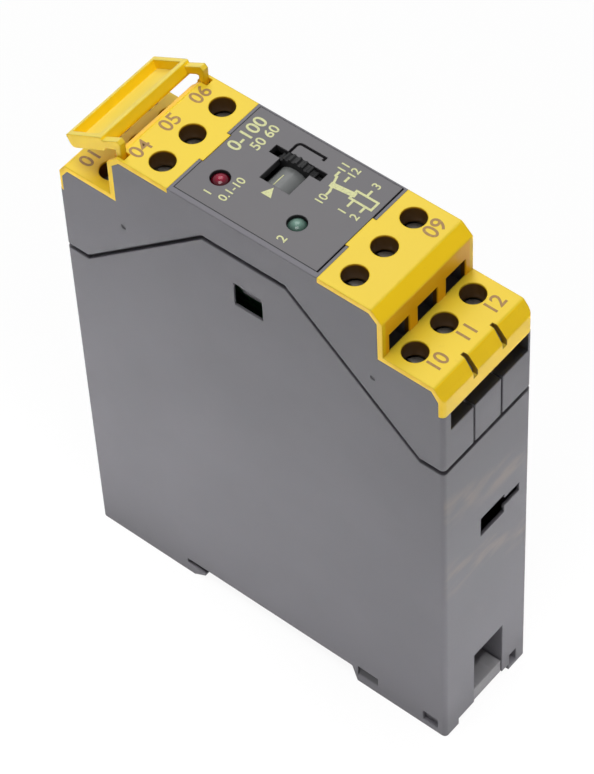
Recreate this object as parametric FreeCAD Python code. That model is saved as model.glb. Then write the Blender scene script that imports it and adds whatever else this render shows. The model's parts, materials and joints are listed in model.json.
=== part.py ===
import FreeCAD, Part
import math
import os

V = FreeCAD.Vector

# Outer case: X along the length, Y across the module width, Z from the rail side up to the front
LENGTH = 78.0
WIDTH = 22.5
HEIGHT = 104.6
WALL = 1.5
END_WALL = 1.8
CORNER_RADIUS = 0.8
HALF = LENGTH / 2
SIDE = WIDTH / 2
INNER_SIDE = SIDE - WALL
INNER_END = HALF - END_WALL

# Sloping seam between the base and the upper housing
SEAM_END_Z = 74.2
SEAM_FOOT_X = 34.2
SEAM_TOP_X = 8.4
SEAM_TOP_Z = 97.2
SEAM_GAP = 0.25
SEAM_REBATE = 0.85
SEAM_DEPTH = 0.8

# Stepped outline of the yellow terminal covers, from the front plate to the lip at the end
COVER_SKIN = 1.0
COVER_INNER_X = 14.9
STEP_X = 27.4
TIER_Z = 94.8
COVER_STEPS = [
    (COVER_INNER_X, HEIGHT),
    (25.3, HEIGHT),
    (STEP_X, 102.5),
    (STEP_X, TIER_Z),
    (37.2, TIER_Z),
    (HALF, 92.3),
    (HALF, 88.6),
]
COVER_ROUNDING = [0, 0.7, 0.7, 0, 0.7, 0.7, 0]
LIP_RADIUS = 0.9
TAB_HALF_WIDTH = 3.35
TAB_X = 14.15

# Terminal banks: two tiers of three at each end
UPPER_X = 19.1
LOWER_X = 30.5
UPPER_WIRE_Z = 94.6
LOWER_WIRE_Z = 84.6
PITCH = 7.23
ACCESS_RADIUS = 2.2
POCKET_HALF_WIDTH = 2.5
WIRE_PITCH = 7.0
WIRE_OFFSET = -0.1
WIRE_WIDTH = 5.0
WIRE_TOP_Z = 98.8
WIRE_SILL_Z = 93.0
SLIT_OFFSET = 0.45
STRIP_BOTTOM_Z = 84.2
STRIP_NEAR_Y = -9.4
STRIP_FAR_Y = 10.3

# Screw clamps: a folded frame, a pressure leaf and a slotted screw
FRAME_HALF_LENGTH = 2.4
FRAME_HALF_WIDTH = 2.3
FRAME_WALL = 0.7
FRAME_FLOOR = 0.9
FRAME_SPACE = 3.4
FRAME_TOP = 1.6
SCREW_RADIUS = 1.45
SCREW_HOLE_RADIUS = 1.65
HEAD_RADIUS = 2.0
HEAD_HEIGHT = 1.4
LEAF_BOTTOM = 0.15
LEAF_TOP = 0.75
UPPER_PLUG_Z = 101.2
LOWER_PLUG_Z = 91.2

# Front plate with the wheel window, the lamps and the wheel itself
PLATE_LEFT_X = -14.25
PLATE_RIGHT_X = 14.05
PLATE_NEAR_Y = -10.2
PLATE_FAR_Y = 10.9
PLATE_SEAT_X = 14.35
PLATE_THICKNESS = 1.4
PLATE_BOTTOM_Z = HEIGHT - PLATE_THICKNESS
WHEEL_X = -2.03
WHEEL_Z = 100.1
WHEEL_RADIUS = 5.2
WHEEL_ROOT = 4.8
WHEEL_TEETH = 26
DRUM_RADIUS = 3.6
SHAFT_RADIUS = 1.2
LAMP_Y = -4.45
RED_X = -9.75
GREEN_X = 5.6
LAMP_RADIUS = 1.6
LAMP_HOLE_RADIUS = 1.7
LAMP_TOP_Z = 104.7

# Rail side: channel, fixed hook and sliding latch
CHANNEL_Z = 3.6
HOOK_TOP_Z = 2.2
RAIL_STOP_X = -18.7
FOOT_X = 18.6
LATCH_Y0 = -3.1
LATCH_Y1 = 4.4
LATCH_CLEARANCE = 0.2
BAY_TOP_Z = 16.2
BAY_ROOF_Z = 18.0

# Circuit board and the marker flap's hinge
BOARD_BACK_Y = -6.8
BOARD_FACE_Y = -5.3
FLAP_HALF_WIDTH = 10.6
FLAP_TILT = 29.0
FLAP_WIDTH = 8.7
FLAP_DEPTH = 2.6
FLAP_RIM = 0.9
PIVOT_X = -25.2
PIVOT_Z = 103.8
PIN_RADIUS = 0.45


def box(x0, x1, y0, y1, z0, z1):
    return Part.makeBox(x1 - x0, y1 - y0, z1 - z0, V(x0, y0, z0))


def rounded_wire(points, radii):
    # Closed outline in the XZ plane with an arc of the given radius at each corner
    corners = [V(x, 0, z) for x, z in points]
    edges = []
    starts = []
    ends = []
    arcs = []
    for i, corner in enumerate(corners):
        before = (corners[i - 1] - corner).normalize()
        after = (corners[(i + 1) % len(corners)] - corner).normalize()
        radius = radii[i]
        if radius == 0:
            starts.append(corner)
            ends.append(corner)
            arcs.append(None)
            continue
        half_angle = before.getAngle(after) / 2
        reach = radius / math.tan(half_angle)
        centre = corner + (before + after).normalize() * (radius / math.sin(half_angle))
        middle = centre + (corner - centre).normalize() * radius
        starts.append(corner + before * reach)
        ends.append(corner + after * reach)
        arcs.append(middle)
    for i in range(len(corners)):
        if arcs[i]:
            edges.append(Part.Arc(starts[i], arcs[i], ends[i]).toShape())
        edges.append(Part.makeLine(ends[i], starts[(i + 1) % len(corners)]))
    return Part.Wire(edges)


def prism(points, y0, y1, radii=None):
    wire = rounded_wire(points, radii or [0] * len(points))
    shape = Part.Face(wire).extrude(V(0, y1 - y0, 0))
    shape.translate(V(0, y0, 0))
    return shape


def inset_path(points, distance):
    # Open polyline moved sideways to the right of its own direction
    lines = []
    for (x0, z0), (x1, z1) in zip(points, points[1:]):
        length = math.hypot(x1 - x0, z1 - z0)
        ux = (x1 - x0) / length
        uz = (z1 - z0) / length
        lines.append((x0 + uz * distance, z0 - ux * distance, ux, uz))
    moved = [(lines[0][0], lines[0][1])]
    for (ax, az, aux, auz), (bx, bz, bux, buz) in zip(lines, lines[1:]):
        t = ((bx - ax) * buz - (bz - az) * bux) / (aux * buz - auz * bux)
        moved.append((ax + aux * t, az + auz * t))
    x1, z1 = points[-1]
    moved.append((x1 + lines[-1][3] * distance, z1 - lines[-1][2] * distance))
    return moved


def mirrored(points):
    return [(-x, z) for x, z in reversed(points)]


def mirror_x(shape):
    return shape.mirror(V(0, 0, 0), V(1, 0, 0))


def mirror_y(shape):
    return shape.mirror(V(0, 0, 0), V(0, 1, 0))


def cylinder_y(radius, x, z, y0, y1):
    return Part.makeCylinder(radius, y1 - y0, V(x, y0, z), V(0, 1, 0))


def plan_block(radius):
    # Upright block with the plan outline of the module, rounded at its four corners
    block = box(-HALF, HALF, -SIDE, SIDE, -1, HEIGHT + 1)
    upright = [e for e in block.Edges if e.BoundBox.ZLength > 1]
    return block.makeFillet(radius, upright)


def eight_sided(radius, x, y, z0, z1):
    # Hidden thread of a clamp screw, drawn with eight flats
    turns = [math.pi * (2 * i + 1) / 8 for i in range(9)]
    outline = [V(x + radius * math.cos(t), y + radius * math.sin(t), z0) for t in turns]
    return Part.Face(Part.makePolygon(outline)).extrude(V(0, 0, z1 - z0))


def both_sides(shapes):
    return shapes + [mirror_y(s) for s in shapes]


def export(name, shape):
    shape.removeSplitter().exportStep("parts/" + name + ".step")


os.makedirs("parts", exist_ok=True)

cover_inner = inset_path(COVER_STEPS, COVER_SKIN)

# Base housing: open at the top along the sloping seam
seam_right = [(HALF, SEAM_END_Z), (SEAM_FOOT_X, SEAM_END_Z), (SEAM_TOP_X, SEAM_TOP_Z)]
base_outline = [(-HALF, 0), (HALF, 0)] + seam_right + mirrored(seam_right)
base = prism(base_outline, -SIDE, SIDE).common(plan_block(CORNER_RADIUS))
cavity = [
    (-INNER_END, 5.2),
    (17.0, 5.2),
    (17.0, BAY_ROOF_Z),
    (INNER_END, BAY_ROOF_Z),
    (INNER_END, HEIGHT),
    (-INNER_END, HEIGHT),
]
base = base.cut(prism(cavity, -INNER_SIDE, INNER_SIDE))

# Rail channel with the undercut fixed hook on the left and the slanted foot on the right
channel = [
    (-17.4, -1),
    (-17.4, 0),
    (-14.6, 1.7),
    (-14.6, HOOK_TOP_Z),
    (RAIL_STOP_X, HOOK_TOP_Z),
    (RAIL_STOP_X, CHANNEL_Z),
    (FOOT_X, CHANNEL_Z),
    (19.7, 0),
    (19.7, -1),
]
channel_rounding = [0, 1.2, 0.4, 0.1, 0.3, 0.3, 0.3, 0, 0]
base_cuts = [prism(channel, -SIDE - 1, SIDE + 1, channel_rounding)]

# Latch bay, its guide grooves, the window at the end and the raised underside of the foot
bay_y0 = LATCH_Y0 - LATCH_CLEARANCE
bay_y1 = LATCH_Y1 + LATCH_CLEARANCE
base_cuts.append(box(18.5, INNER_END + 0.1, bay_y0, bay_y1, -1, BAY_TOP_Z))
base_cuts.append(box(18.4, 36.6, bay_y0 - 1.4, bay_y1 + 1.4, 2.25, 3.75))
base_cuts.append(box(37.0, HALF + 1, bay_y0, bay_y1, -1, 15.7))
base_cuts.append(box(18.4, HALF + 1, -7.6, 6.5, -1, 1.6))
base_cuts.append(box(36.5, HALF + 1, 6.7, 8.6, 1.0, 4.2))

# Stepped slot in the end wall, which is thin round it
base_cuts.append(box(36.0, HALF + 1, -1.7, 4.6, 48.2, 53.0))
base_cuts.append(box(36.0, HALF + 1, 4.5, 8.6, 49.9, 52.0))
base_cuts.append(box(36.0, HALF - 0.5, -1.7, 9.7, 45.5, 53.0))

# Snap holes, with the wall thinned behind them, and pry notches in the broad sides
snap_hole = box(-2.4, 3.4, -SIDE - 1, -INNER_SIDE + 0.5, 85.9, 91.1)
pry_notch = box(19.9, 24.3, -SIDE - 1, -SIDE + 1.0, 1.7, 4.5)
ramp = [V(19.9, -SIDE, 1.7), V(19.9, -SIDE + 1.0, 1.7), V(19.9, -SIDE + 1.0, 4.5)]
pry_notch = pry_notch.cut(Part.Face(Part.makePolygon(ramp + ramp[:1])).extrude(V(4.4, 0, 0)))
snap_relief = box(-4.2, 4.4, -SIDE + 0.4, -INNER_SIDE + 0.05, 82.9, 91.1)
corner_notch = box(34.1, 37.3, -SIDE - 1, -SIDE + 0.8, 1.4, 3.9)
base_cuts += both_sides([snap_hole, snap_relief, pry_notch, corner_notch])
base = base.cut(base_cuts)

# Stop rib for the latch spring and the grooves that hold the circuit board
base = base.fuse([box(29.5, 30.6, bay_y0 - 0.1, bay_y1 + 0.1, 5.4, BAY_TOP_Z + 0.1)])
for end in (-1, 1):
    rib_x = sorted((end * (INNER_END + 0.1), end * (INNER_END - 1.8)))
    back_rib = box(rib_x[0], rib_x[1], BOARD_BACK_Y - 0.7, BOARD_BACK_Y - 0.05, 20.0, 74.0)
    face_rib = box(rib_x[0], rib_x[1], BOARD_FACE_Y + 0.05, BOARD_FACE_Y + 0.7, 20.0, 74.0)
    base = base.fuse([back_rib, face_rib])
export("base_housing", base)

# Upper housing: full outline first, then the bay, the plate seat, chambers and wire entries are cut
top_right = [(HALF, 88.6)] + list(reversed(cover_inner)) + [(COVER_INNER_X, HEIGHT)]
seam_upper = [(x, z + SEAM_GAP) for x, z in reversed(seam_right)]
upper_right = seam_upper + top_right
upper_outline = upper_right + mirrored(upper_right)
upper = prism(upper_outline, -SIDE, SIDE).common(plan_block(CORNER_RADIUS))
bay_right = [(37.4, 70), (37.4, 82.4), (25.2, 82.4), (25.2, 91.0), (13.4, 91.0), (13.4, HEIGHT + 1)]
upper_cuts = [prism(bay_right + mirrored(bay_right), -INNER_SIDE, INNER_SIDE)]
seat_y = (PLATE_NEAR_Y - 0.05, PLATE_FAR_Y + 0.05)
upper_cuts.append(box(-PLATE_SEAT_X, PLATE_SEAT_X, *seat_y, PLATE_BOTTOM_Z, HEIGHT + 1))
tab_y = TAB_HALF_WIDTH + 0.1
upper_cuts.append(box(-15.2, 15.2, -tab_y, tab_y, HEIGHT - COVER_SKIN - 0.05, HEIGHT + 1))

# Shadow line: the lower rim of the upper housing is set back along the whole seam
rim = seam_upper + [(x, z + SEAM_REBATE) for x, z in reversed(seam_upper)]
rim_band = prism(rim, -SIDE - 1, -SIDE + SEAM_DEPTH)
rim_top_z = SEAM_TOP_Z + SEAM_GAP + SEAM_REBATE
level_band = box(-SEAM_TOP_X, SEAM_TOP_X, -SIDE - 1, -SIDE + SEAM_DEPTH, SEAM_TOP_Z, rim_top_z)
upper_cuts += both_sides([rim_band, mirror_x(rim_band), level_band])

# Moulding dimples above the slope
dimple = box(24.9, 25.7, -SIDE - 1, -SIDE + 0.15, 88.0, 88.8)
upper_cuts += both_sides([dimple, mirror_x(dimple)])

# Chambers, wire entries and slits of the right bank, mirrored for the left bank
bank_cuts = []
for row in (-1, 0, 1):
    y = row * PITCH
    y0 = y - POCKET_HALF_WIDTH
    y1 = y + POCKET_HALF_WIDTH
    wire_y = row * WIRE_PITCH + WIRE_OFFSET
    tail_y = y - 0.45
    bank_cuts.append(box(UPPER_X - 3.5, UPPER_X + 4.5, y0, y1, UPPER_WIRE_Z - FRAME_FLOOR, HEIGHT))
    bank_cuts.append(box(LOWER_X - 3.2, LOWER_X + 5.7, y0, y1, LOWER_WIRE_Z - FRAME_FLOOR, 96.0))
    wire_y0 = wire_y - WIRE_WIDTH / 2
    wire_y1 = wire_y + WIRE_WIDTH / 2
    bank_cuts.append(box(23.0, STEP_X - 0.2, wire_y0, wire_y1, WIRE_SILL_Z, WIRE_TOP_Z))
    bank_cuts.append(box(UPPER_X - 1.0, UPPER_X + 0.9, tail_y, tail_y + 0.9, 90.0, UPPER_WIRE_Z))
    bank_cuts.append(box(LOWER_X - 1.0, LOWER_X + 0.9, tail_y, tail_y + 0.9, 81.0, LOWER_WIRE_Z))
bank_cuts.append(box(36.0, HALF + 1, STRIP_NEAR_Y, STRIP_FAR_Y, STRIP_BOTTOM_Z, 88.6))
for y in (-3.5, 3.5):
    bank_cuts.append(box(37.0, HALF + 1, y - 0.25, y + 0.25, 70.0, STRIP_BOTTOM_Z + 0.1))
end_top_z = SEAM_END_Z + SEAM_GAP + SEAM_REBATE
end_band = box(HALF - SEAM_DEPTH, HALF + 1, -SIDE - 1, SIDE + 1, SEAM_END_Z, end_top_z)
bank_cuts.append(end_band)
upper_cuts += bank_cuts + [mirror_x(s) for s in bank_cuts]

# Relief under the left cover for the hinge ears of the marker flap
ear_relief = box(-26.3, -23.6, 8.0, 10.8, 101.9, 105.0)
upper_cuts += both_sides([ear_relief])
upper = upper.cut(upper_cuts)

# Two snap tongues that reach behind the base walls and catch in the snap holes
tongue = box(-1.9, 2.9, -9.65, -8.6, 87.6, 101.0)
tongue_root = box(-1.9, 2.9, -9.8, -8.6, SEAM_TOP_Z + SEAM_GAP + 0.1, 101.0)
nose_points = ((-9.7, 88.2), (-10.4, 89.6), (-10.4, 90.9), (-9.0, 90.9), (-9.0, 88.2), (-9.7, 88.2))
nose = Part.Face(Part.makePolygon([V(-1.9, y, z) for y, z in nose_points])).extrude(V(4.8, 0, 0))
upper = upper.fuse(both_sides([tongue.fuse([tongue_root, nose])]))
export("upper_housing", upper)

# Yellow terminal covers: a thin stepped skin with plugs round the access holes, wire openings and slits
skin = COVER_STEPS + list(reversed(cover_inner))
skin_rounding = COVER_ROUNDING + [0] * len(cover_inner)
cover = prism(skin, -SIDE, SIDE, skin_rounding).common(plan_block(LIP_RADIUS))
tab_z = HEIGHT - COVER_SKIN
cover = cover.fuse(box(TAB_X, COVER_INNER_X + 0.2, -TAB_HALF_WIDTH, TAB_HALF_WIDTH, tab_z, HEIGHT))
plugs = []
cover_cuts = []
for row in (-1, 0, 1):
    y = row * PITCH
    wire_y = row * WIRE_PITCH + WIRE_OFFSET
    plug_y0 = y - POCKET_HALF_WIDTH + 0.05
    plug_y1 = y + POCKET_HALF_WIDTH - 0.05
    plugs.append(box(UPPER_X - 3.4, UPPER_X + 4.4, plug_y0, plug_y1, UPPER_PLUG_Z, tab_z + 0.1))
    plugs.append(box(LOWER_X - 3.1, LOWER_X + 5.6, plug_y0, plug_y1, LOWER_PLUG_Z, TIER_Z - 0.9))
    cover_cuts.append(Part.makeCylinder(ACCESS_RADIUS, 6, V(UPPER_X, y, HEIGHT - 5)))
    cover_cuts.append(Part.makeCylinder(ACCESS_RADIUS, 6, V(LOWER_X, y, TIER_Z - 5)))
    wire_y0 = wire_y - WIRE_WIDTH / 2
    wire_y1 = wire_y + WIRE_WIDTH / 2
    cover_cuts.append(box(STEP_X - 2, STEP_X + 1, wire_y0, wire_y1, TIER_Z, WIRE_TOP_Z))
    cover_cuts.append(box(STEP_X - 2, STEP_X - 0.2, wire_y0, wire_y1, WIRE_SILL_Z, WIRE_TOP_Z))
for y in (SLIT_OFFSET - 3.65, SLIT_OFFSET + 3.65):
    narrow = [V(36.4, y + 0.3, 91.2), V(36.4, y - 0.3, 91.2)]
    wide = [V(39.5, y - 0.55, 91.2), V(39.5, y + 0.55, 91.2)]
    wedge = narrow + wide + narrow[:1]
    cover_cuts.append(Part.Face(Part.makePolygon(wedge)).extrude(V(0, 0, 5)))
cover = cover.fuse(plugs).cut(cover_cuts)
export("terminal_cover_right", cover)

# The left cover also carries the hinge ears and has two slots for the posts of the flap
ear = box(-25.9, -24.2, 8.2, 9.25, 102.3, HEIGHT - COVER_SKIN + 0.1)
post_slot_outline = [
    (-28.0, 102.0),
    (-24.5, 102.0),
    (-24.5, 103.4),
    (-23.95, 104.7),
    (-23.95, HEIGHT + 1),
    (-28.0, HEIGHT + 1),
]
post_slot = prism(post_slot_outline, 9.25, 10.75)
pin_hole = cylinder_y(PIN_RADIUS + 0.05, PIVOT_X, PIVOT_Z, 8.1, 9.4)
left_cover = mirror_x(cover).fuse(both_sides([ear])).cut(both_sides([post_slot, pin_hole]))
export("terminal_cover_left", left_cover)

# Marker flap: a shallow tray on two bent arms, drawn level and then tilted about its inner edge
tray = prism(
    [(-FLAP_WIDTH, -FLAP_DEPTH), (0, -FLAP_DEPTH), (0, 0), (-FLAP_WIDTH, 0)],
    -FLAP_HALF_WIDTH,
    FLAP_HALF_WIDTH,
    [0.8, 0.8, 0.3, 0.3],
)
tray_pocket = box(
    FLAP_RIM - FLAP_WIDTH,
    -FLAP_RIM,
    FLAP_RIM - FLAP_HALF_WIDTH,
    FLAP_HALF_WIDTH - FLAP_RIM,
    -FLAP_DEPTH + FLAP_RIM,
    1,
)
tray = tray.cut(tray_pocket)
tray.rotate(V(0, 0, 0), V(0, 1, 0), -FLAP_TILT)
tray.translate(V(-29.0, 0, 106.4))
arm_outline = [
    (-29.2, 105.5),
    (-25.3, 107.8),
    (-24.7, 107.2),
    (-24.7, 103.5),
    (-25.0, 103.2),
    (-25.4, 103.2),
    (-25.7, 103.5),
    (-25.7, 105.7),
    (-26.3, 105.6),
    (-28.6, 104.3),
]
arm = prism(arm_outline, 9.4, FLAP_HALF_WIDTH)
pin = cylinder_y(PIN_RADIUS, PIVOT_X, PIVOT_Z, 8.35, 9.5)
flap = tray.fuse(both_sides([arm.fuse(pin)]))
export("marker_flap", flap)

# Front plate: wheel window with the rim slot, two lamp holes and the slit round a spring tongue
plate = box(
    PLATE_LEFT_X,
    PLATE_RIGHT_X,
    PLATE_NEAR_Y,
    PLATE_FAR_Y,
    PLATE_BOTTOM_Z,
    HEIGHT,
)
plate_z = (PLATE_BOTTOM_Z - 1, HEIGHT + 1)
bend = Part.makeCylinder(1.0, 4, V(-3.85, 7.85, PLATE_BOTTOM_Z - 1))
bend = bend.cut(Part.makeCylinder(0.5, 4, V(-3.85, 7.85, PLATE_BOTTOM_Z - 1)))
plate_cuts = [
    box(PLATE_LEFT_X - 1, -TAB_X + 0.1, -TAB_HALF_WIDTH - 0.1, TAB_HALF_WIDTH + 0.1, *plate_z),
    box(-5.0, 0.95, -0.7, 4.4, *plate_z),
    box(-7.2, 3.05, 4.3, 6.2, *plate_z),
    box(-4.85, -4.35, 6.1, 7.85, *plate_z),
    bend.common(box(-5.0, -3.85, 7.85, 9.0, *plate_z)),
    box(-3.85, 0.95, 8.35, 8.85, *plate_z),
    box(0.45, 0.95, 7.9, 8.85, *plate_z),
    Part.makeCylinder(LAMP_HOLE_RADIUS, 4, V(RED_X, LAMP_Y, PLATE_BOTTOM_Z - 1)),
    Part.makeCylinder(LAMP_HOLE_RADIUS, 4, V(GREEN_X, LAMP_Y, PLATE_BOTTOM_Z - 1)),
]
export("front_plate", plate.cut(plate_cuts))

# Setting wheel: toothed rim on a shaft that turns in the potentiometer
rim_points = []
for tooth in range(WHEEL_TEETH):
    flank = ((0.0, WHEEL_ROOT), (0.42, WHEEL_ROOT), (0.58, WHEEL_RADIUS), (0.84, WHEEL_RADIUS))
    for share, radius in flank:
        angle = 2 * math.pi * (tooth + share + 0.29) / WHEEL_TEETH
        rim_points.append((WHEEL_X + radius * math.sin(angle), WHEEL_Z + radius * math.cos(angle)))
wheel = prism(rim_points, 4.45, 6.0)
wheel = wheel.fuse(cylinder_y(SHAFT_RADIUS, WHEEL_X, WHEEL_Z, -4.5, 5.0))
export("setting_wheel", wheel)

# Index drum: sleeve pressed on the shaft against the rim
drum = cylinder_y(DRUM_RADIUS, WHEEL_X, WHEEL_Z, -0.5, 4.45)
drum = drum.cut(cylinder_y(SHAFT_RADIUS + 0.03, WHEEL_X, WHEEL_Z, -1, 5))
export("index_drum", drum)

# Potentiometer: body on the board with a bearing for the wheel shaft
pot = box(WHEEL_X - 4.5, WHEEL_X + 4.5, BOARD_FACE_Y, -1.2, 92.5, 102.6)
pot = pot.cut(cylinder_y(SHAFT_RADIUS + 0.05, WHEEL_X, WHEEL_Z, -4.6, 0))
export("potentiometer", pot)

# Indicator lamps: turned lens outline with a stepped dome, two leads bent back to the board
lens_points = (
    (0, 99.9),
    (LAMP_RADIUS, 99.9),
    (LAMP_RADIUS, 103.7),
    (0.7 * LAMP_RADIUS, LAMP_TOP_Z),
    (0, LAMP_TOP_Z),
    (0, 99.9),
)
for name, x in (("red_led", RED_X), ("green_led", GREEN_X)):
    outline = Part.makePolygon([V(r, 0, z) for r, z in lens_points])
    lamp = Part.Face(outline).revolve(V(0, 0, 0), V(0, 0, 1), 360)
    lamp.translate(V(x, LAMP_Y, 0))
    for lead_x in (x - 0.85, x + 0.85):
        lead = box(lead_x - 0.25, lead_x + 0.25, LAMP_Y - 0.25, LAMP_Y + 0.25, 94.0, 100.0)
        foot = box(lead_x - 0.25, lead_x + 0.25, BOARD_FACE_Y, LAMP_Y + 0.25, 93.5, 94.0)
        lamp = lamp.fuse(lead.fuse(foot))
    export(name, lamp)

# Circuit board, with a stepped upper edge that clears the terminal chambers
board_outline = [
    (-36.2, BAY_ROOF_Z),
    (36.2, BAY_ROOF_Z),
    (36.2, 81.9),
    (25.0, 81.9),
    (25.0, 90.5),
    (12.0, 90.5),
    (12.0, 98.5),
    (3.0, 98.5),
    (3.0, 102.6),
    (-7.2, 102.6),
    (-7.2, 98.5),
    (-12.0, 98.5),
    (-12.0, 90.5),
    (-25.0, 90.5),
    (-25.0, 81.9),
    (-36.2, 81.9),
]
export("main_board", prism(board_outline, BOARD_BACK_Y, BOARD_FACE_Y))

# Sealed components on the board
transformer_outline = [(-17, 20), (17, 20), (17, 50), (-17, 50)]
export("supply_transformer", prism(transformer_outline, BOARD_FACE_Y, 9.2, [1.5] * 4))
relay_outline = [(-30, 55), (-1, 55), (-1, 67.7), (-30, 67.7)]
export("switching_relay", prism(relay_outline, BOARD_FACE_Y, 9.3, [0.6] * 4))
export("smoothing_capacitor", cylinder_y(5.0, 25.5, 40.0, BOARD_FACE_Y, 7.7))
chip_outline = [(6, 58), (25.3, 58), (25.3, 64.4), (6, 64.4)]
export("control_chip", prism(chip_outline, BOARD_FACE_Y, -1.7, [0.2] * 4))

# Rail latch: slanted nose under the rail, bar out through the end window, two lugs and side guides
latch_outline = [
    (15.2, 2.3),
    (16.9, 0.2),
    (21.0, 0.2),
    (21.0, 1.7),
    (38.8, 1.7),
    (38.8, 5.0),
    (33.0, 5.0),
    (33.0, 9.0),
    (31.4, 9.0),
    (31.4, 5.0),
    (24.3, 5.0),
    (24.3, 9.0),
    (22.7, 9.0),
    (22.7, 5.0),
    (18.9, 5.0),
    (18.9, 2.3),
]
latch = prism(latch_outline, LATCH_Y0, LATCH_Y1)
latch = latch.fuse(box(19.5, 33.2, LATCH_Y0 - 1.2, LATCH_Y1 + 1.2, 2.4, 3.6))
export("rail_latch", latch)

# Latch spring: folded strip between the front lug and the stop rib
fold_x = (24.45, 24.45, 25.6, 26.4, 27.2, 28.2, 29.35, 29.35)
fold_z = (5.4, 8.1, 6.1, 8.1, 6.1, 8.1, 6.1, 8.6)
folds = list(zip(fold_x, fold_z))
strip = inset_path(folds, 0.15) + list(reversed(inset_path(folds, -0.15)))
export("latch_spring", prism(strip, -1.5, 2.5))

# Terminals: frame with solder tail, pressure leaf and screw, for two tiers at both ends
tiers = (
    ("left_upper", -1, UPPER_X, UPPER_WIRE_Z, 90.0),
    ("left_lower", -1, LOWER_X, LOWER_WIRE_Z, 81.4),
    ("right_upper", 1, UPPER_X, UPPER_WIRE_Z, 90.0),
    ("right_lower", 1, LOWER_X, LOWER_WIRE_Z, 81.4),
)
for tier, end, x, wire_z, tail_z in tiers:
    for row in (-1, 0, 1):
        name = tier + "_" + str(row + 2)
        y = row * PITCH
        frame_top = wire_z + FRAME_SPACE + FRAME_TOP
        frame = box(
            x - FRAME_HALF_LENGTH,
            x + FRAME_HALF_LENGTH,
            y - FRAME_HALF_WIDTH,
            y + FRAME_HALF_WIDTH,
            wire_z - FRAME_FLOOR,
            frame_top,
        )
        inner_width = FRAME_HALF_WIDTH - FRAME_WALL
        frame = frame.cut(box(x - 5, x + 5, y - inner_width, y + inner_width, wire_z, wire_z + FRAME_SPACE))
        frame = frame.cut(eight_sided(SCREW_HOLE_RADIUS, x, y, wire_z + 1, wire_z + 7))
        foot_z = tail_z - 1.6 * (row + 1)
        tail = box(x - 0.85, x + 0.75, y - 0.3, y + 0.3, foot_z - 0.3, wire_z - FRAME_FLOOR + 0.1)
        board_y = BOARD_BACK_Y if row == -1 else BOARD_FACE_Y
        run_y = sorted((y, board_y))
        run = box(x - 0.85, x + 0.75, run_y[0], run_y[1], foot_z - 0.3, foot_z + 0.3)
        frame = frame.fuse([tail, run])
        leaf_outline = [
            (x - 2.3, wire_z + LEAF_BOTTOM),
            (x + 2.3, wire_z + LEAF_BOTTOM),
            (x + 2.3, wire_z + LEAF_TOP),
            (x - 1.7, wire_z + LEAF_TOP),
            (x - 1.7, wire_z + LEAF_TOP + 0.2),
            (x - 2.3, wire_z + LEAF_TOP + 0.2),
        ]
        leaf = prism(leaf_outline, y - 1.5, y + 1.5)
        head_z = frame_top + 0.1
        tip_z = wire_z + LEAF_TOP
        screw = Part.makeCylinder(HEAD_RADIUS, HEAD_HEIGHT, V(x, y, head_z))
        screw = screw.fuse(eight_sided(SCREW_RADIUS, x, y, tip_z, head_z))
        slot_z = head_z + HEAD_HEIGHT - 0.7
        screw = screw.cut(box(x - 3, x + 3, y - 0.4, y + 0.4, slot_z, slot_z + 2))
        for node, shape in (("terminal_clamp", frame), ("wire_guard", leaf), ("terminal_screw", screw)):
            export(node + "_" + name, mirror_x(shape) if end < 0 else shape)
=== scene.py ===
import json
import math

import bpy
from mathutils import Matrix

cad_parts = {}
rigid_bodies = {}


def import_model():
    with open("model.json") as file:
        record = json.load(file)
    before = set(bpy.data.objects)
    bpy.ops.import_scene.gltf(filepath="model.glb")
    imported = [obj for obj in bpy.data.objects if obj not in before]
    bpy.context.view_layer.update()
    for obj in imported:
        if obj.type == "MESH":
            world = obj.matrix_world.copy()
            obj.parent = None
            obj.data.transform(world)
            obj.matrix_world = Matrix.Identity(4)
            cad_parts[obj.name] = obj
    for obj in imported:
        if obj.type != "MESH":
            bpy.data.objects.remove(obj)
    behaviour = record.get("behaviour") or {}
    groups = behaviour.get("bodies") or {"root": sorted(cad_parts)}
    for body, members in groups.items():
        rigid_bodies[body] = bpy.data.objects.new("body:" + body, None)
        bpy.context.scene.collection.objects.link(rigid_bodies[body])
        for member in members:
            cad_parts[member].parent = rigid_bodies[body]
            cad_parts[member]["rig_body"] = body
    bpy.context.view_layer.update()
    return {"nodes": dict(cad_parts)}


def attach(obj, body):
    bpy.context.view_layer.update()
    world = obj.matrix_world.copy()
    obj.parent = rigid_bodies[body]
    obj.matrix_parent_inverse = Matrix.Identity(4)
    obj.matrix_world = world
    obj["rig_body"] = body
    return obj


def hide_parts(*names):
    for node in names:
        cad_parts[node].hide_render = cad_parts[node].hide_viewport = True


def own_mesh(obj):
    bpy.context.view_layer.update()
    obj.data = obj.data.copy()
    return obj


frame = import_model()


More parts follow.
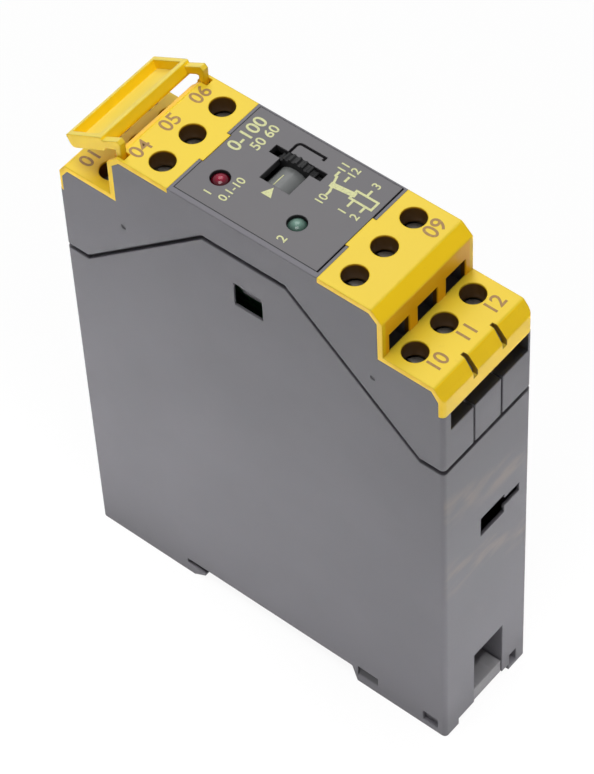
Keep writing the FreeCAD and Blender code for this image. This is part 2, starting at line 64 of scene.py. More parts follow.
# Base housing: the lower half of the case, injection moulded in gray plastic with a fine satin
# grain. It holds the rail channel, the fixed hook and the snap holes. Its end wall shows two tan
# rubbed patches, the broad sides are a little cloudy, and painted shade darkens its recesses,
# wire entries and pry notch.
class Finish:
    def __init__(self, tree, socket=None):
        self.tree = tree
        self.socket = socket

    def make(self, kind, settings=None, inputs=None, output=0):
        node = self.tree.nodes.new(kind)
        for name, value in (settings or {}).items():
            setattr(node, name, value)
        for name, value in (inputs or {}).items():
            if isinstance(value, Finish):
                self.tree.links.new(value.socket, node.inputs[name])
            else:
                node.inputs[name].default_value = value
        return Finish(self.tree, node.outputs[output])

    def part(self, output):
        return Finish(self.tree, self.socket.node.outputs[output])

    def value(self, operation, *terms):
        return self.make("ShaderNodeMath", {"operation": operation}, dict(enumerate(terms)))

    def size(self):
        return self.value("ABSOLUTE", self)

    def at_least(self, other):
        return self.value("MAXIMUM", self, other)

    def __add__(self, other):
        return self.value("ADD", self, other)

    def __sub__(self, other):
        return self.value("SUBTRACT", self, other)

    def __rsub__(self, other):
        return self.value("SUBTRACT", other, self)

    def __mul__(self, other):
        return self.value("MULTIPLY", self, other)

    __radd__ = __add__
    __rmul__ = __mul__


def new_finish(name):
    material = bpy.data.materials.new(name)
    material.use_nodes = True
    return material, Finish(material.node_tree).make("ShaderNodeTexCoord", output="Object")


def axes_of(vector):
    along = vector.make("ShaderNodeSeparateXYZ", {}, {"Vector": vector})
    return along, along.part(1), along.part(2)


def upward(place):
    return axes_of(place.part("Normal"))[2]


def stretched(place, scale, turn=(0, 0, 0)):
    return place.make("ShaderNodeMapping", {}, {"Vector": place, "Rotation": turn, "Scale": scale})


def noise(place, scale, detail=2.0):
    return place.make("ShaderNodeTexNoise", {}, {"Vector": place, "Scale": scale, "Detail": detail})


def step(value, low, high):
    return value.make(
        "ShaderNodeMapRange",
        {"interpolation_type": "SMOOTHSTEP"},
        {"Value": value, "From Min": low, "From Max": high},
    )


def band(value, start, full, fading, end):
    return step(value, start, full) * step(value, end, fading)


def hypotenuse(first, second):
    return first.value("SQRT", first * first + second * second)


def mixed(mask, first, second):
    return mask.make("ShaderNodeMix", {"data_type": "RGBA"}, {0: mask, 6: first, 7: second}, 2)


def relief(height, depth, edge=0.0):
    inputs = {"Height": height, "Distance": depth}
    if edge:
        inputs["Normal"] = height.make("ShaderNodeBevel", {"samples": 6}, {"Radius": edge})
    return height.make("ShaderNodeBump", {}, inputs)


def dress(material, sockets):
    shader = material.node_tree.nodes["Principled BSDF"]
    for name, value in sockets.items():
        if isinstance(value, Finish):
            material.node_tree.links.new(value.socket, shader.inputs[name])
        else:
            shader.inputs[name].default_value = value


def only(piece):
    bpy.ops.object.select_all(action="DESELECT")
    piece.select_set(True)
    bpy.context.view_layer.objects.active = piece


def moulding(node, material):
    solid = frame["nodes"][node]
    piece = bpy.data.objects.new(node + "_moulding", solid.data.copy())
    bpy.context.scene.collection.objects.link(piece)
    only(piece)
    bpy.ops.mesh.customdata_custom_splitnormals_clear()
    bpy.ops.object.mode_set(mode="EDIT")
    bpy.ops.mesh.select_all(action="SELECT")
    bpy.ops.mesh.remove_doubles(threshold=0.000001)
    bpy.ops.object.mode_set(mode="OBJECT")
    bpy.ops.object.shade_smooth_by_angle(angle=math.radians(32))
    even = piece.modifiers.new("even_faces", "WEIGHTED_NORMAL")
    even.keep_sharp = True
    bpy.ops.object.modifier_apply(modifier="even_faces")
    piece.data.materials.clear()
    piece.data.materials.append(material)
    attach(piece, solid["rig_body"])
    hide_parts(node)
    return piece


CORE_X = 0.0382
CORE_Y = 0.01045
OPEN_HEIGHTS = (0.004, 0.006, 0.1027, 0.1031)
WIRE_ENTRY_X = (0.0358, 0.036, 0.0388, 0.03895)
WIRE_ENTRY_Z = (0.084, 0.0842, 0.0887, 0.089)
PRY_NOTCH_X = (0.0198, 0.0199, 0.0243, 0.0244)
PRY_NOTCH_Y = (0.0101, 0.0102, 0.01115, 0.01122)
PRY_NOTCH_Z = (0.0018, 0.0024, 0.00455, 0.0046)
UPPER_RUB = (0.055, 0.06, 0.061, 0.066)
LOWER_RUB = (0.036, 0.041, 0.043, 0.048)
RUB_SLOPE = 0.3
DIMPLE_X = 0.0253
DIMPLE_Z = 0.0884

case_gray, place = new_finish("case_gray")
along, across, height = axes_of(place)
reach = along.size()
span = across.size()
cloud = noise(place, 45.0, 3.0)
grain = noise(place, 3200.0)
from_core = hypotenuse((reach - CORE_X).at_least(0.0), (span - CORE_Y).at_least(0.0))
# painted shade: the recesses, the wire entries under the lip and the pry notch are mixed towards near
# black
recess_shade = step(from_core, 0.0007, 0.0005) * band(height, *OPEN_HEIGHTS)
entry_shade = band(reach, *WIRE_ENTRY_X) * step(span, 0.0106, 0.0104) * band(height, *WIRE_ENTRY_Z)
notch_shade = band(along, *PRY_NOTCH_X) * band(span, *PRY_NOTCH_Y) * band(height, *PRY_NOTCH_Z)
shaded = (entry_shade * 0.8 + notch_shade * 0.7).at_least(recess_shade * 0.2)
slant = height + RUB_SLOPE * across
streaks = step(noise(stretched(place, (1, 0.35, 1), (0.29, 0, 0)), 330.0), 0.4, 0.7)
rubbed = streaks * step(along, 0.0386, 0.0389) * (band(slant, *UPPER_RUB) + band(slant, *LOWER_RUB))
dimple = step(hypotenuse(reach - DIMPLE_X, height - DIMPLE_Z), 0.0007, 0.0003)
colour = mixed(step(cloud, 0.3, 0.7), (0.138, 0.134, 0.149, 1), (0.154, 0.149, 0.166, 1))
colour = mixed(rubbed * 0.5, colour, (0.26, 0.215, 0.18, 1))
colour = mixed(dimple * 0.4, colour, (0.05, 0.05, 0.055, 1))
dress(case_gray, {
    "Base Color": mixed(shaded, colour, (0.018, 0.018, 0.02, 1)),
    "Roughness": 0.42 + 0.12 * cloud + 0.06 * grain,
    "Specular IOR Level": 0.34,
    "Normal": relief(grain, 0.000012, 0.0003),
})
moulding("base_housing", case_gray)


# Circuit board: glass-fibre board with green lacquer over copper tracks, slid into the ribs of
# the base. It carries the sealed components, none of which opens.
board_green, place = new_finish("board_green")
tracks = place.make(
    "ShaderNodeTexBrick",
    {"offset": 0.35},
    {
        "Vector": stretched(place, (1, 1, 1), (math.pi / 2, 0, 0)),
        "Scale": 160.0,
        "Mortar Size": 0.06,
        "Mortar Smooth": 0.3,
    },
    1,
)
lacquer = noise(place, 500.0)
dress(board_green, {
    "Base Color": mixed(tracks, (0.02, 0.13, 0.045, 1), (0.06, 0.24, 0.09, 1)),
    "Roughness": 0.3 + 0.15 * lacquer,
    "Normal": relief(tracks, 0.00003),
})


def recolour(node, material):
    solid = frame["nodes"][node]
    for held in solid.material_slots:
        held.material = material


recolour("main_board", board_green)

potting_black, place = new_finish("potting_black")
pits = noise(place, 900.0, 4.0)
dress(potting_black, {
    "Base Color": mixed(pits, (0.018, 0.018, 0.02, 1), (0.04, 0.04, 0.042, 1)),
    "Roughness": 0.4 + 0.25 * pits,
    "Normal": relief(pits, 0.00003, 0.0003),
})
for node in ("supply_transformer", "switching_relay", "control_chip", "potentiometer"):
    recolour(node, potting_black)

STRIPE_Z = (0.0405, 0.0407, 0.0429, 0.0431)
sleeve, place = new_finish("capacitor_sleeve")
along, across, height = axes_of(place)
bare_end = step(across, 0.0074, 0.0076)
shrink = noise(place, 700.0)
sleeve_colour = mixed(band(height, *STRIPE_Z), (0.02, 0.03, 0.07, 1), (0.5, 0.52, 0.55, 1))
dress(sleeve, {
    "Base Color": mixed(bare_end, sleeve_colour, (0.72, 0.72, 0.74, 1)),
    "Metallic": bare_end,
    "Roughness": 0.32 + 0.12 * shrink,
    "Normal": relief(shrink, 0.00001, 0.0004),
})
recolour("smoothing_capacitor", sleeve)


# Rail latch: a sliding gray moulding under the right foot, whose end shows in the window, with a
# folded strip of spring steel behind its front lug that is pressed together as the latch is pulled.
latch_gray, place = new_finish("latch_gray")
scuff = noise(stretched(place, (0.2, 1, 1)), 900.0, 3.0)
dress(latch_gray, {
    "Base Color": mixed(step(scuff, 0.45, 0.8), (0.2, 0.195, 0.205, 1), (0.25, 0.245, 0.255, 1)),
    "Roughness": 0.4 + 0.15 * scuff,
    "Normal": relief(scuff, 0.00001, 0.0003),
})
moulding("rail_latch", latch_gray)

spring_steel, place = new_finish("spring_steel")
rolled = noise(stretched(place, (1, 0.05, 1)), 4000.0)
dress(spring_steel, {
    "Base Color": mixed(rolled, (0.45, 0.45, 0.46, 1), (0.62, 0.62, 0.63, 1)),
    "Metallic": 1.0,
    "Roughness": 0.25 + 0.2 * rolled,
    "Normal": relief(rolled, 0.000004),
})
spring = moulding("latch_spring", spring_steel)
spring.name = "latch_spring_strip"
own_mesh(spring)


# Screw terminals: twelve folded clamp frames of plated brass with a pressure leaf and a slotted
# steel screw each. Only the screw heads show, deep in the round access holes of the covers.
plated_brass, place = new_finish("plated_brass")
tarnish = noise(place, 420.0, 4.0)
dress(plated_brass, {
    "Base Color": mixed(step(tarnish, 0.4, 0.7), (0.62, 0.52, 0.3, 1), (0.4, 0.32, 0.18, 1)),
    "Metallic": 1.0,
    "Roughness": 0.3 + 0.3 * tarnish,
    "Normal": relief(tarnish, 0.00001, 0.00015),
})
zinc_steel, place = new_finish("zinc_steel")
dull = noise(place, 800.0, 4.0)
turned = noise(stretched(place, (1, 1, 0.1)), 5000.0)
dress(zinc_steel, {
    "Base Color": mixed(step(dull, 0.35, 0.7), (0.32, 0.31, 0.29, 1), (0.15, 0.14, 0.125, 1)),
    "Metallic": 1.0,
    "Roughness": 0.28 + 0.3 * dull,
    "Normal": relief(turned, 0.000004, 0.00012),
})
HEAD_RADIUS = 0.002
HEAD_HEIGHT = 0.0014
SLOT_SIZE = (0.006, 0.0008, 0.0014)
CROWN_BEVEL = 0.00022
CORE_RADIUS = 0.0013
CORE_LENGTH = 0.0043
CORE_MIDDLE = -0.00205
CORE_BEVEL = 0.0002
THREAD_RADIUS = 0.00121
THREAD_DEPTH = 0.00022
THREAD_START = -0.0042
THREAD_PITCH = 0.0005
THREAD_TURNS = 8
TURN_STEPS = 24

bpy.ops.object.select_all(action="DESELECT")
bpy.ops.mesh.primitive_cylinder_add(
    vertices=40, radius=HEAD_RADIUS, depth=HEAD_HEIGHT, location=(0, 0, HEAD_HEIGHT / 2))
screw_head = bpy.context.object
bpy.ops.object.transform_apply(location=True, rotation=False, scale=False)
bpy.ops.mesh.primitive_cube_add(size=1, location=(0, 0, HEAD_HEIGHT))
driver_slot = bpy.context.object
driver_slot.scale = SLOT_SIZE
bpy.ops.object.transform_apply(location=True, rotation=False, scale=True)
only(screw_head)
cut = screw_head.modifiers.new("driver_slot", "BOOLEAN")
cut.object = driver_slot
cut.solver = "EXACT"
bpy.ops.object.modifier_apply(modifier="driver_slot")
bpy.data.objects.remove(driver_slot)
crown = screw_head.modifiers.new("crown", "BEVEL")
crown.width = CROWN_BEVEL
crown.segments = 2
crown.limit_method = "ANGLE"
crown.angle_limit = math.radians(50)
bpy.ops.object.modifier_apply(modifier="crown")

bpy.ops.object.select_all(action="DESELECT")
bpy.ops.mesh.primitive_circle_add(
    vertices=3,
    radius=THREAD_DEPTH,
    location=(THREAD_RADIUS, 0, THREAD_START),
    rotation=(math.pi / 2, math.pi / 2, 0),
)
thread = bpy.context.object
bpy.ops.object.transform_apply(location=True, rotation=True, scale=False)
winding = thread.modifiers.new("winding", "SCREW")
winding.screw_offset = THREAD_PITCH
winding.iterations = THREAD_TURNS
winding.steps = TURN_STEPS
winding.render_steps = TURN_STEPS
bpy.ops.object.modifier_apply(modifier="winding")
bpy.ops.mesh.primitive_cylinder_add(
    vertices=TURN_STEPS, radius=CORE_RADIUS, depth=CORE_LENGTH, location=(0, 0, CORE_MIDDLE))
core = bpy.context.object
bpy.ops.object.mode_set(mode="EDIT")
bpy.ops.mesh.select_all(action="SELECT")
bpy.ops.mesh.bevel(offset=CORE_BEVEL, segments=2, affect="EDGES")
bpy.ops.object.mode_set(mode="OBJECT")
bpy.ops.object.transform_apply(location=True, rotation=False, scale=False)
only(screw_head)
thread.select_set(True)
core.select_set(True)
bpy.ops.object.join()
bpy.ops.object.shade_smooth_by_angle(angle=math.radians(35))
screw_head.data.materials.append(zinc_steel)

ROW_PITCH = 0.00723
TERMINALS = [
    (end + "_" + tier + "_" + str(row), sign * from_middle, (row - 2) * ROW_PITCH, level)
    for end, sign in (("left", -1), ("right", 1))
    for tier, from_middle, level in (("upper", 0.0191, 0.0997), ("lower", 0.0305, 0.0897))
    for row in (1, 2, 3)
]
for name, x, y, level in TERMINALS:
    recolour("terminal_clamp_" + name, plated_brass)
    recolour("wire_guard_" + name, zinc_steel)
    screw = bpy.data.objects.new("slotted_screw_" + name, screw_head.data.copy())
    bpy.context.scene.collection.objects.link(screw)
    screw.location = (x, y, level)
    only(screw)
    bpy.ops.object.transform_apply(location=True, rotation=False, scale=False)
    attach(screw, "screw_" + name)
    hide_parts("terminal_screw_" + name)
bpy.data.objects.remove(screw_head)


# Upper housing: the same gray moulding as the base, closed on it along the sloping seam. Its two
# ends are stepped banks with the terminal chambers and the wire entries.
moulding("upper_housing", case_gray)


# Terminal covers: thin stepped caps of yellow plastic over both banks, with brown terminal
# numbers printed beside the access holes. Painted shade makes their slopes and walls deeper orange
# than their tops, and painted shade turns the holes, jambs and slits dark brown.
UPPER_HOLES_X = (0.0164, 0.0166, 0.0216, 0.0218)
LOWER_HOLES_X = (0.0279, 0.0281, 0.0329, 0.0331)
JAMB_X = (0.0244, 0.0246, 0.0271, 0.02725)
JAMB_Z = (0.0928, 0.093, 0.099, 0.0992)
SLIT_MIDDLE_Y = 0.00045
SLIT_SPACING_Y = 0.00365
SLIT_START_X = 0.0364
SLIT_TAPER = 0.0806

cover_yellow, place = new_finish("cover_yellow")
along, across, height = axes_of(place)
reach = along.size()
facing = upward(place)
cloud = noise(place, 70.0, 3.0)
grain = noise(place, 2600.0)
dirt = step(noise(place, 900.0, 5.0), 0.62, 0.8)
within_rims = step(across.size(), 0.0105, 0.0103)
upper_holes = band(reach, *UPPER_HOLES_X) * step(height, 0.1045, 0.1041)
lower_holes = band(reach, *LOWER_HOLES_X) * step(height, 0.0947, 0.0943)
jambs = band(reach, *JAMB_X) * band(height, *JAMB_Z)
# painted shade: the access holes, the wire-opening jambs and the slits between the end panels are darkened
# to deep brown
shaft_shade = (upper_holes + lower_holes + jambs) * within_rims
from_slit = ((across - SLIT_MIDDLE_Y).size() - SLIT_SPACING_Y).size() - SLIT_TAPER * (reach - SLIT_START_X)
slit_shade = step(from_slit, 0.0004, 0.00033) * step(reach, 0.0362, 0.0364) * step(height, 0.0911, 0.0913)
# painted shade: faces that turn away from up get a deeper orange, and the step wall a deeper one still
step_wall_shade = step(facing, 0.35, 0.15) * step(reach, 0.0285, 0.028) * within_rims
colour = mixed(step(cloud, 0.3, 0.7), (0.8, 0.575, 0.026, 1), (0.83, 0.605, 0.034, 1))
colour = mixed(step(facing, 0.9, 0.75), colour, (0.98, 0.635, 0.004, 1))
colour = mixed(step_wall_shade, colour, (0.97, 0.5, 0.001, 1))
colour = mixed(dirt * 0.08, colour, (0.4, 0.25, 0.04, 1))
dress(cover_yellow, {
    "Base Color": mixed(shaft_shade.at_least(slit_shade * 0.85), colour, (0.14, 0.065, 0.008, 1)),
    "Roughness": 0.38 + 0.12 * cloud,
    "Specular IOR Level": 0.3,
    "Normal": relief(grain, 0.000008, 0.00035),
})
moulding("terminal_cover_right", cover_yellow)
moulding("terminal_cover_left", cover_yellow)

brown_ink, place = new_finish("brown_ink")
worn = noise(place, 2200.0, 3.0)
dress(brown_ink, {
    "Base Color": mixed(step(worn, 0.5, 0.75), (0.31, 0.17, 0.045, 1), (0.43, 0.265, 0.055, 1)),
    "Roughness": 0.5 + 0.1 * worn,
})


def lettering(words, tall, x, y, z, material):
    bpy.ops.object.select_all(action="DESELECT")
    bpy.ops.object.text_add()
    sign = bpy.context.object
    sign.data.body = words
    sign.data.align_x = "CENTER"
    sign.data.align_y = "CENTER"
    sign.data.size = tall / 0.7
    sign.data.offset = 0.02 * tall
    sign.data.extrude = 0.00002
    bpy.ops.object.convert(target="MESH")
    sign = bpy.context.object
    sign.rotation_euler = (0, 0, math.pi / 2)
    sign.location = (x, y, z)
    bpy.ops.object.transform_apply(location=True, rotation=True, scale=False)
    sign.data.materials.clear()
    sign.data.materials.append(material)
    return sign


def joined(pieces, name):
    only(pieces[0])
    for piece in pieces[1:]:
        piece.select_set(True)
    bpy.ops.object.join()
    whole = bpy.context.object
    whole.name = name
    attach(whole, "case")
    return whole


TOP_Z = 0.1046
TIER_Z = 0.0948
for name, words_at in (
    ("left_cover_numbers", (
        ("04", 0.0026, -0.02345, -0.00736, TOP_Z),
        ("05", 0.0026, -0.02345, -0.00026, TOP_Z),
        ("06", 0.0026, -0.02345, 0.00711, TOP_Z),
        ("01", 0.0026, -0.03494, -0.00733, TIER_Z),
        ("02", 0.0026, -0.0353, -0.0001, TIER_Z),
        ("03", 0.0026, -0.0353, 0.0072, TIER_Z),
    )),
    ("right_cover_numbers", (
        ("09", 0.0027, 0.02305, 0.0075, TOP_Z),
        ("10", 0.0026, 0.0345, -0.00672, TIER_Z),
        ("11", 0.0026, 0.0345, 0.0006, TIER_Z),
        ("12", 0.0026, 0.0345, 0.00754, TIER_Z),
    )),
):
    joined([lettering(words, tall, x, y, z, brown_ink) for words, tall, x, y, z in words_at], name)


# Marker flap: a shallow tray of the same yellow plastic, a little glossier, snapped by two bent
# arms into the left cover. It swings up to bare the lower terminals.
flap_yellow, place = new_finish("flap_yellow")
cloud = noise(place, 110.0, 3.0)
grain = noise(place, 2400.0)
colour = mixed(step(cloud, 0.3, 0.7), (0.82, 0.64, 0.095, 1), (0.85, 0.665, 0.115, 1))
dress(flap_yellow, {
    # painted shade: faces that do not face up get a deeper orange than the tray's tops
    "Base Color": mixed(step(upward(place), 0.8, 0.65), colour, (0.985, 0.66, 0.01, 1)),
    "Roughness": 0.3 + 0.12 * cloud,
    "Specular IOR Level": 0.25,
    "Normal": relief(grain, 0.000006, 0.0004),
})
moulding("marker_flap", flap_yellow)


# Front plate: a smooth gray face, let in flush between the covers, with painted shade on the walls
# of its openings and along its near edge, and pale printing: a pointer at the wheel, a plain
# contact and coil diagram and plain numbers.
TONGUE_X = (-0.006, -0.0058, 0.0018, 0.002)
TONGUE_Y = (0.0063, 0.0064, 0.0094, 0.0095)

plate_gray, place = new_finish("plate_gray")
along, across, height = axes_of(place)
cloud = noise(place, 120.0, 3.0)
grain = noise(place, 3600.0)
# painted shade: the cut walls below the plate top and a thin strip along its near edge are darkened, less
# so at the spring tongue
edge = step(height, 0.10445, 0.10425) * step(along, -0.01395, -0.0139)
edge = edge.at_least(step(across, -0.01006, -0.0101))
edge = edge * (1.0 - 0.6 * (band(across, *TONGUE_Y) * band(along, *TONGUE_X)))
colour = mixed(step(cloud, 0.3, 0.7), (0.104, 0.099, 0.107, 1), (0.116, 0.111, 0.118, 1))
dress(plate_gray, {
    "Base Color": mixed(edge, colour, (0.03, 0.029, 0.031, 1)),
    "Roughness": 0.4 + 0.12 * cloud,
    "Specular IOR Level": 0.36,
    "Normal": relief(grain, 0.000006, 0.0002),
})
moulding("front_plate", plate_gray)

pale_ink, place = new_finish("pale_ink")
worn = noise(place, 3000.0, 3.0)
dress(pale_ink, {
    "Base Color": mixed(step(worn, 0.45, 0.75), (0.62, 0.63, 0.31, 1), (0.43, 0.43, 0.23, 1)),
    "Roughness": 0.5 + 0.1 * worn,
})


def stroke(x0, y0, x1, y1, width, thickness):
    bpy.ops.object.select_all(action="DESELECT")
    bpy.ops.mesh.primitive_cube_add(size=1)
    line = bpy.context.object
    line.scale = (math.hypot(x1 - x0, y1 - y0) + width, width, thickness)
    line.rotation_euler = (0, 0, math.atan2(y1 - y0, x1 - x0))
    line.location = ((x0 + x1) / 2, (y0 + y1) / 2, TOP_Z)
    bpy.ops.object.transform_apply(location=True, rotation=True, scale=True)
    line.data.materials.append(pale_ink)
    return line


FINE = 0.00042
BROAD = 0.001
bpy.ops.object.select_all(action="DESELECT")
bpy.ops.mesh.primitive_cylinder_add(
    vertices=3, radius=0.0013, depth=0.00004, location=(-0.00182, -0.00236, TOP_Z))
pointer = bpy.context.object
pointer.scale = (0.9, 1, 1)
bpy.ops.object.transform_apply(location=True, rotation=False, scale=True)
pointer.data.materials.append(pale_ink)
marks = [pointer]
for words, tall, x, y in (
    ("1", 0.0015, -0.00935, -0.0079),
    ("0.1-10", 0.0015, -0.0067, -0.0052),
    ("2", 0.0016, 0.0058, -0.0083),
    ("0-100", 0.0024, -0.0122, 0.0052),
    ("50 60", 0.0018, -0.0095, 0.0062),
    ("10", 0.0015, 0.0055, 0.0016),
    ("11", 0.0015, 0.0042, 0.0088),
    ("12", 0.0015, 0.0062, 0.0088),
    ("3", 0.0015, 0.0107, 0.0088),
    ("1", 0.0015, 0.0096, 0.0016),
    ("2", 0.0015, 0.0119, 0.0018),
):
    marks.append(lettering(words, tall, x, y, TOP_Z, pale_ink))

# Strokes that cross differ a little in thickness, so that no two of their faces share a plane.
for i, (x0, y0, x1, y1, width) in enumerate((
    (0.0055, 0.0029, 0.0055, 0.0036, FINE),
    (0.0055, 0.0036, 0.0045, 0.0066, FINE),
    (0.0042, 0.0067, 0.0042, 0.0075, FINE),
    (0.0061, 0.0067, 0.0061, 0.0075, FINE),
    (0.0051, 0.0049, 0.0088, 0.0053, BROAD),
    (0.0088, 0.0044, 0.0088, 0.0062, FINE),
    (0.013, 0.0044, 0.013, 0.0062, FINE),
    (0.0088, 0.0044, 0.013, 0.0044, FINE),
    (0.0088, 0.0062, 0.013, 0.0062, FINE),
    (0.0107, 0.0062, 0.0107, 0.0074, FINE),
    (0.0096, 0.0044, 0.0096, 0.003, FINE),
    (0.0119, 0.0044, 0.0119, 0.0032, FINE),
)):
    marks.append(stroke(x0, y0, x1, y1, width, 0.00003 + 0.000003 * i))
joined(marks, "front_plate_print")


# Indicator lamps: cast epoxy lenses, dark red and gray-green while unlit, each on two tinned
# leads that turn back to the board.
LAMP_RADIUS = 0.0016
LAMP_DOME = 0.625
LAMP_BODY = 0.0038
LAMP_Y = -0.00445
LAMP_Z = 0.1037
GLOW_Z = 0.1046
BOARD_FACE_Y = -0.0053
LEAD_SPACING = 0.00085
LEAD_HALF = 0.00025
LEAD_TOP_Z = 0.1
LEAD_FOOT_Z = 0.0935
LEAD_BEND_Z = 0.094

tinned, place = new_finish("tinned_lead")
dull = noise(place, 1500.0)
dress(tinned, {
    "Base Color": mixed(dull, (0.55, 0.55, 0.55, 1), (0.7, 0.7, 0.7, 1)),
    "Metallic": 1.0,
    "Roughness": 0.3 + 0.2 * dull,
})


def bar(x0, x1, y0, y1, z0, z1):
    bpy.ops.object.select_all(action="DESELECT")
    bpy.ops.mesh.primitive_cube_add(size=1, location=((x0 + x1) / 2, (y0 + y1) / 2, (z0 + z1) / 2))
    piece = bpy.context.object
    piece.scale = (x1 - x0, y1 - y0, z1 - z0)
    bpy.ops.object.transform_apply(location=True, rotation=False, scale=True)
    return piece


for node, name, x, shaded_rim, lit_centre, slot in (
    ("red_led", "red_lens", -0.00975, (0.06, 0.001, 0.006, 1), (0.3, 0.003, 0.032, 1), "lamp_red"),
    ("green_led", "green_lens", 0.0056, (0.045, 0.09, 0.072, 1), (0.16, 0.28, 0.23, 1), "lamp_green"),
):
    lens_finish, place = new_finish(name + "_epoxy")
    centred = place.make("ShaderNodeMapping", {}, {"Vector": place, "Location": (-x, -LAMP_Y, -GLOW_Z)})
    away = centred.make("ShaderNodeVectorMath", {"operation": "LENGTH"}, {0: centred}, 1)
    swirl = noise(place, 1800.0)
    # painted light: each lens is painted lighter at the centre of its dome and darker towards the rim
    dress(lens_finish, {
        "Base Color": mixed(step(away + 0.0002 * swirl, 0.0002, 0.0015), lit_centre, shaded_rim),
        "Roughness": 0.08 + 0.08 * swirl,
        "Specular IOR Level": 0.22,
        "Coat Weight": 0.1 * swirl,
    })
    bpy.ops.object.select_all(action="DESELECT")
    bpy.ops.mesh.primitive_uv_sphere_add(segments=40, ring_count=20, radius=LAMP_RADIUS)
    lens = bpy.context.object
    lens.scale = (1, 1, LAMP_DOME)
    bpy.ops.object.transform_apply(location=False, rotation=False, scale=True)
    bpy.ops.object.mode_set(mode="EDIT")
    bpy.ops.mesh.select_all(action="SELECT")
    bpy.ops.mesh.bisect(plane_co=(0, 0, 0), plane_no=(0, 0, 1), clear_inner=True)
    bpy.ops.mesh.extrude_region_move(TRANSFORM_OT_translate={"value": (0, 0, -LAMP_BODY)})
    bpy.ops.mesh.edge_face_add()
    bpy.ops.object.mode_set(mode="OBJECT")
    lens.location = (x, LAMP_Y, LAMP_Z)
    lens.name = name
    bpy.ops.object.transform_apply(location=True, rotation=False, scale=False)
    bpy.ops.object.shade_smooth_by_angle(angle=math.radians(40))
    lens.data.materials.append(lens_finish)
    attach(lens, "case")
    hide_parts(node)
    bars = []
    for lead_x in (x - LEAD_SPACING, x + LEAD_SPACING):
        x0 = lead_x - LEAD_HALF
        x1 = lead_x + LEAD_HALF
        bars.append(bar(x0, x1, LAMP_Y - LEAD_HALF, LAMP_Y + LEAD_HALF, LEAD_FOOT_Z, LEAD_TOP_Z))
        bars.append(bar(x0, x1, BOARD_FACE_Y, LAMP_Y - LEAD_HALF, LEAD_FOOT_Z, LEAD_BEND_Z))
    leads = joined(bars, name + "_leads")
    leads.data.materials.append(tinned)


# Setting wheel: a black toothed rim on its shaft, with a drum pressed against it that has a gray
# sector. A pale line along the gray sector is read against the pointer on the plate.
wheel_black, place = new_finish("wheel_black")
handled = noise(place, 1500.0, 3.0)
dress(wheel_black, {
    "Base Color": mixed(handled, (0.006, 0.006, 0.007, 1), (0.013, 0.013, 0.014, 1)),
    "Roughness": 0.5 + 0.2 * handled,
    "Specular IOR Level": 0.3,
    "Normal": relief(handled, 0.000008, 0.0002),
})
moulding("setting_wheel", wheel_black)

drum_gray, place = new_finish("drum_gray")
along = axes_of(place)[0]
drawn = noise(stretched(place, (1, 0.06, 1)), 2600.0)
sector = step(along, -0.0044, -0.0043)
# painted light and shade: the gray sector is painted lighter towards its left side and darker to the right
lit_side = step(along + 0.0006 * drawn, -0.0035, -0.001)
gray = mixed(lit_side, (0.17, 0.176, 0.174, 1), (0.1, 0.105, 0.105, 1))
dress(drum_gray, {
    "Base Color": mixed(sector, (0.012, 0.012, 0.013, 1), gray),
    "Roughness": 0.38 + 0.15 * drawn,
    "Normal": relief(drawn, 0.00001, 0.0003),
})
moulding("index_drum", drum_gray)

DRUM_X = -0.00203
DRUM_Z = 0.1001
DRUM_RADIUS = 0.0036
LINE_Y = 0.00135
LINE_SIZE = (0.0002, 0.0025, 0.00008)
LINE_TURN = -0.23
bpy.ops.object.select_all(action="DESELECT")
bpy.ops.mesh.primitive_cube_add(size=1)
index_line = bpy.context.object
index_line.scale = LINE_SIZE
index_line.rotation_euler = (0, LINE_TURN, 0)
index_line.location = (
    DRUM_X + DRUM_RADIUS * math.sin(LINE_TURN), LINE_Y, DRUM_Z + DRUM_RADIUS * math.cos(LINE_TURN))
bpy.ops.object.transform_apply(location=True, rotation=True, scale=True)
index_line.name = "index_line"
index_line.data.materials.append(pale_ink)
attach(index_line, "wheel")


# Stage: a pale floor, a soft white surround, broad lamps above and behind, and two small lamps
# that light the floor close beside the case, seen from the photographed angle.
scene = bpy.context.scene
scene.view_settings.view_transform = "Standard"


def seen_rays(finish):
    camera_rays = finish.make("ShaderNodeLightPath")
    mirrored = camera_rays.part("Is Glossy Ray").at_least(camera_rays.part("Is Transmission Ray"))
    return camera_rays.at_least(mirrored)


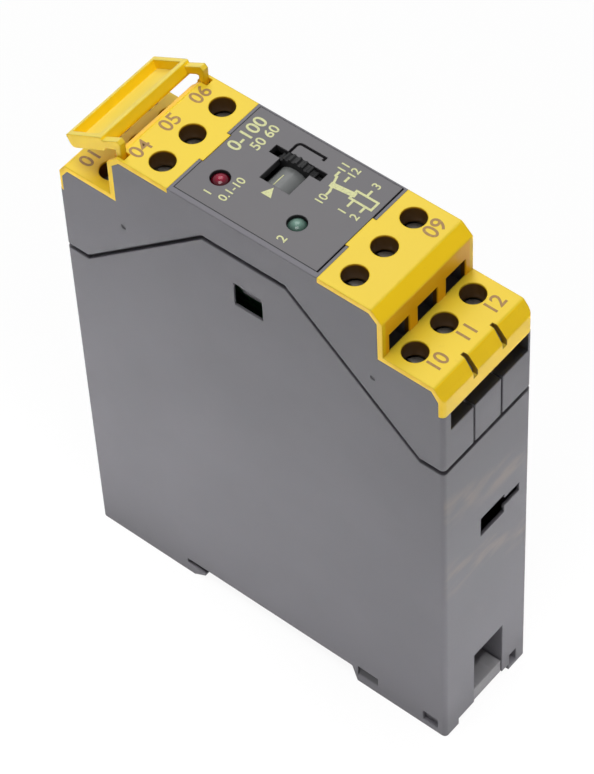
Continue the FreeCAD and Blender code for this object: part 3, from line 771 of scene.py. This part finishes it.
bpy.ops.object.select_all(action="DESELECT")
bpy.ops.mesh.primitive_plane_add(size=6)
floor = bpy.context.object
floor.name = "floor"
floor_white, place = new_finish("floor_white")
dress(floor_white, {"Base Color": (0.9, 0.9, 0.9, 1), "Roughness": 0.9, "Specular IOR Level": 0.0})
floor_nodes = floor_white.node_tree.nodes
plain_white = place.make("ShaderNodeEmission", {}, {"Color": (1, 1, 1, 1), "Strength": 1.0})
lit = Finish(floor_white.node_tree, floor_nodes["Principled BSDF"].outputs[0])
floor_look = place.make("ShaderNodeMixShader", {}, {0: seen_rays(place) * 0.93, 1: lit, 2: plain_white})
floor_white.node_tree.links.new(floor_look.socket, floor_nodes["Material Output"].inputs[0])
floor.data.materials.append(floor_white)

surround = bpy.data.worlds.new("surround")
surround.use_nodes = True
scene.world = surround
strength = 0.2 + 0.8 * seen_rays(Finish(surround.node_tree))
background = surround.node_tree.nodes["Background"]
background.inputs["Color"].default_value = (1, 1, 1, 1)
surround.node_tree.links.new(strength.socket, background.inputs["Strength"])

for name, shape, spot, turn, size, spread, power in (
    ("broad_lamp", "DISK", (0, -0.1, 0.9), (6, 0, 0), (0.42, 0.42), 180, 4.05),
    ("back_lamp", "DISK", (-0.4, 0.45, 0.85), (-35, 0, 41.6), (0.5, 0.5), 180, 3.0),
    ("end_floor_lamp", "RECTANGLE", (0.13, 0.01, 0.25), (0, 0, 0), (0.06, 0.09), 40, 0.245),
    ("side_floor_lamp", "RECTANGLE", (-0.04, -0.1, 0.25), (0, 0, 0), (0.12, 0.06), 40, 0.24),
):
    bpy.ops.object.light_add(type="AREA", location=spot)
    lamp = bpy.context.object
    lamp.name = name
    lamp.rotation_euler = [math.radians(angle) for angle in turn]
    lamp.data.shape = shape
    lamp.data.size = size[0]
    lamp.data.size_y = size[1]
    lamp.data.spread = math.radians(spread)
    lamp.data.energy = power

bpy.ops.object.camera_add(
    location=(0.23997, -0.26849, 0.50861),
    rotation=(math.radians(38.428), math.radians(2.125), math.radians(39.163)),
)
camera = bpy.context.object
camera.data.sensor_width = 36.0
camera.data.lens = 163.12
camera.data.clip_start = 0.01
scene.camera = camera
